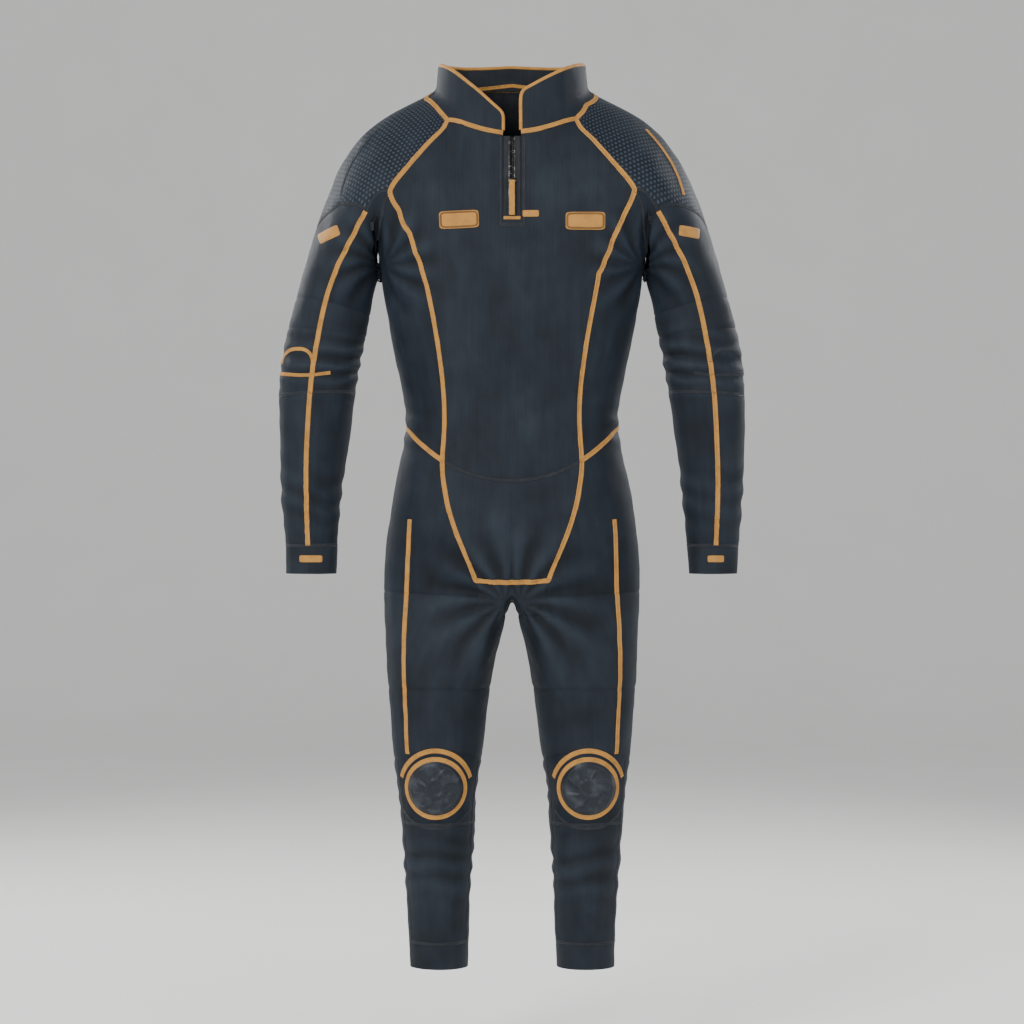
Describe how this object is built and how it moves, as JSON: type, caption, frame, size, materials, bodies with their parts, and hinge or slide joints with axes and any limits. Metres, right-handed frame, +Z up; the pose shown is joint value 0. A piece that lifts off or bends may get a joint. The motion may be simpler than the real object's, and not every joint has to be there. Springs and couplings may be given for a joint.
{
  "type": "full wetsuit",
  "caption": "Full-length neoprene wetsuit with raglan sleeves, stand-up collar, short front neck zip, side panels, gusset and knee pads.",
  "frame": {"origin": "middle of the neck at the height of the back collar's top edge, where the suit hangs from", "axes": "+Z up, -Y out of the suit's front, +X towards the wearer's left"},
  "size_m": [0.7472, 0.2296, 1.4556],
  "materials": {
    "neoprene": "matte jersey-lined neoprene",
    "neoprene_side": "matte jersey-lined neoprene, darker",
    "grip_print": "neoprene with a dotted mesh texture",
    "knee_print": "matte abrasion-resistant print",
    "amber_trim": "satin webbing and thread",
    "zip_tape": "woven tape with moulded teeth",
    "zip_metal": "satin dark coating"
  },
  "bodies": {
    "suit_body": {"front_chest_panel": "neoprene", "upper_back_panel": "neoprene", "lumbar_panel": "neoprene", "seat_panel": "neoprene", "belly_gusset": "neoprene", "crotch_panel": "neoprene", "collar_back": "neoprene", "collar_front_left": "neoprene", "collar_front_right": "neoprene", "neck_binding": "amber_trim", "chest_patch_left": "amber_trim", "chest_patch_right": "amber_trim", "zip_tape_left": "zip_tape", "zip_tape_right": "zip_tape", "zip_stop": "amber_trim", "zip_flap": "neoprene_side", "left_shoulder_panel": "grip_print", "left_side_panel": "neoprene_side", "left_hip_panel": "neoprene_side", "left_upper_sleeve_outer": "neoprene", "left_upper_sleeve_inner": "neoprene_side", "left_upper_thigh": "neoprene", "right_shoulder_panel": "grip_print", "right_side_panel": "neoprene_side", "right_hip_panel": "neoprene_side", "right_upper_sleeve_outer": "neoprene", "right_upper_sleeve_inner": "neoprene_side", "right_upper_thigh": "neoprene"},
    "zip_slider_body": {"zip_slider": "zip_metal"},
    "zip_tab_body": {"zip_pull_tab": "amber_trim"},
    "left_upper_arm": {"left_upper_arm_band": "neoprene", "left_elbow_panel": "neoprene"},
    "left_forearm": {"left_forearm_outer": "neoprene", "left_forearm_inner": "neoprene_side", "left_wrist_cuff": "neoprene"},
    "left_thigh": {"left_thigh_main": "neoprene", "left_thigh_side": "neoprene_side", "left_knee_front": "knee_print", "left_knee_back": "neoprene", "left_knee_pad": "knee_print"},
    "left_shin": {"left_shin_panel": "neoprene", "left_calf_panel": "neoprene", "left_ankle_hem": "neoprene"},
    "right_upper_arm": {"right_upper_arm_band": "neoprene", "right_elbow_panel": "neoprene"},
    "right_forearm": {"right_forearm_outer": "neoprene", "right_forearm_inner": "neoprene_side", "right_wrist_cuff": "neoprene"},
    "right_thigh": {"right_thigh_main": "neoprene", "right_thigh_side": "neoprene_side", "right_knee_front": "knee_print", "right_knee_back": "neoprene", "right_knee_pad": "knee_print"},
    "right_shin": {"right_shin_panel": "neoprene", "right_calf_panel": "neoprene", "right_ankle_hem": "neoprene"}
  },
  "joints": [
    {"name": "left_shoulder", "type": "hinge", "parent": "suit_body", "child": "left_upper_arm", "pos_m": [0.245, 0, -0.365], "axis": [0, -1, 0], "range_deg": [-5, 40], "stiffness_Nm_per_rad": 2, "deforming": ["left_upper_sleeve_outer", "left_upper_sleeve_inner"]},
    {"name": "left_elbow", "type": "hinge", "parent": "left_upper_arm", "child": "left_forearm", "pos_m": [0.3075, 0.003, -0.485], "axis": [-1, 0, 0], "range_deg": [0, 60], "stiffness_Nm_per_rad": 1, "deforming": ["left_elbow_panel"]},
    {"name": "left_hip", "type": "hinge", "parent": "suit_body", "child": "left_thigh", "pos_m": [0.11, 0.005, -0.925], "axis": [-1, 0, 0], "range_deg": [-20, 45], "stiffness_Nm_per_rad": 3, "deforming": ["left_upper_thigh"]},
    {"name": "left_knee", "type": "hinge", "parent": "left_thigh", "child": "left_shin", "pos_m": [0.12, 0, -1.16], "axis": [1, 0, 0], "range_deg": [0, 65], "stiffness_Nm_per_rad": 1.5, "deforming": ["left_knee_front", "left_knee_back", "left_knee_pad"]},
    {"name": "right_shoulder", "type": "hinge", "parent": "suit_body", "child": "right_upper_arm", "pos_m": [-0.245, 0, -0.365], "axis": [0, 1, 0], "range_deg": [-5, 40], "stiffness_Nm_per_rad": 2, "deforming": ["right_upper_sleeve_outer", "right_upper_sleeve_inner"]},
    {"name": "right_elbow", "type": "hinge", "parent": "right_upper_arm", "child": "right_forearm", "pos_m": [-0.3075, 0.003, -0.485], "axis": [-1, 0, 0], "range_deg": [0, 60], "stiffness_Nm_per_rad": 1, "deforming": ["right_elbow_panel"]},
    {"name": "right_hip", "type": "hinge", "parent": "suit_body", "child": "right_thigh", "pos_m": [-0.11, 0.005, -0.925], "axis": [-1, 0, 0], "range_deg": [-20, 45], "stiffness_Nm_per_rad": 3, "deforming": ["right_upper_thigh"]},
    {"name": "right_knee", "type": "hinge", "parent": "right_thigh", "child": "right_shin", "pos_m": [-0.12, 0, -1.16], "axis": [1, 0, 0], "range_deg": [0, 65], "stiffness_Nm_per_rad": 1.5, "deforming": ["right_knee_front", "right_knee_back", "right_knee_pad"]},
    {"name": "zip_slide", "type": "slide", "parent": "suit_body", "child": "zip_slider_body", "axis": [0, 0.1644, 0.9864], "range_m": [-0.044, 0.062]},
    {"name": "zip_tab_hinge", "type": "hinge", "parent": "zip_slider_body", "child": "zip_tab_body", "pos_m": [0, -0.08769, -0.2032], "axis": [-1, 0, 0], "range_deg": [0, 150]}
  ]
}
